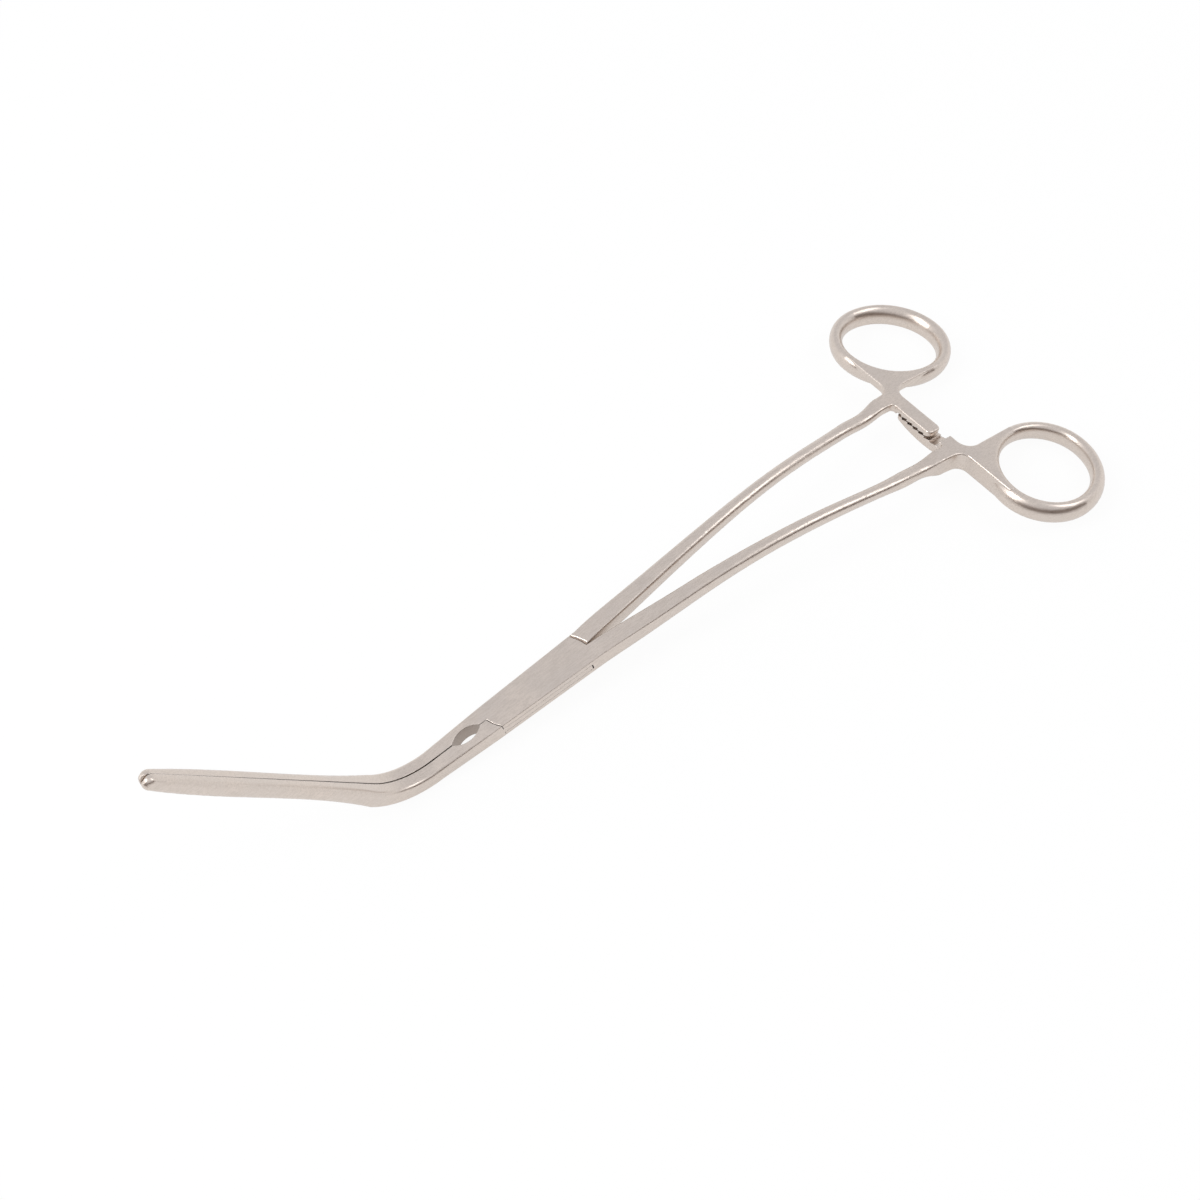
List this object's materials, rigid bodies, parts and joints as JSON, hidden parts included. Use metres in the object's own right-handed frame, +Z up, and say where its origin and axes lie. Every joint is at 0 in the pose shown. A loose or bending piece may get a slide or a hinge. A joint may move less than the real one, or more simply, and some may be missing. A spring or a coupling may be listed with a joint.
{
  "type": "vascular clamp",
  "caption": "Angled vascular clamp with box lock, finger rings, ratchet and ridged jaws bent upwards; the halves open about the pin.",
  "frame": {"origin": "on the surface that the clamp lies on, below the middle of its outer box", "axes": "+X from the jaws towards the finger rings, +Y across, towards the ring of the tenon half, +Z up"},
  "size_m": [0.2336, 0.087, 0.0598],
  "materials": {
    "satin_steel": "satin, finely brushed, with polished edges",
    "pin_steel": "riveted and ground flush with the lock"
  },
  "bodies": {
    "box_body": {"box_half": "satin_steel", "hinge_pin": "pin_steel"},
    "tenon_body": {"tenon_half": "satin_steel"}
  },
  "joints": [
    {"name": "lock_hinge", "type": "hinge", "parent": "box_body", "child": "tenon_body", "pos_m": [-0.03278, 0, 0.00608], "axis": [-0.1224, 0, 0.9925], "range_deg": [0, 32]}
  ]
}
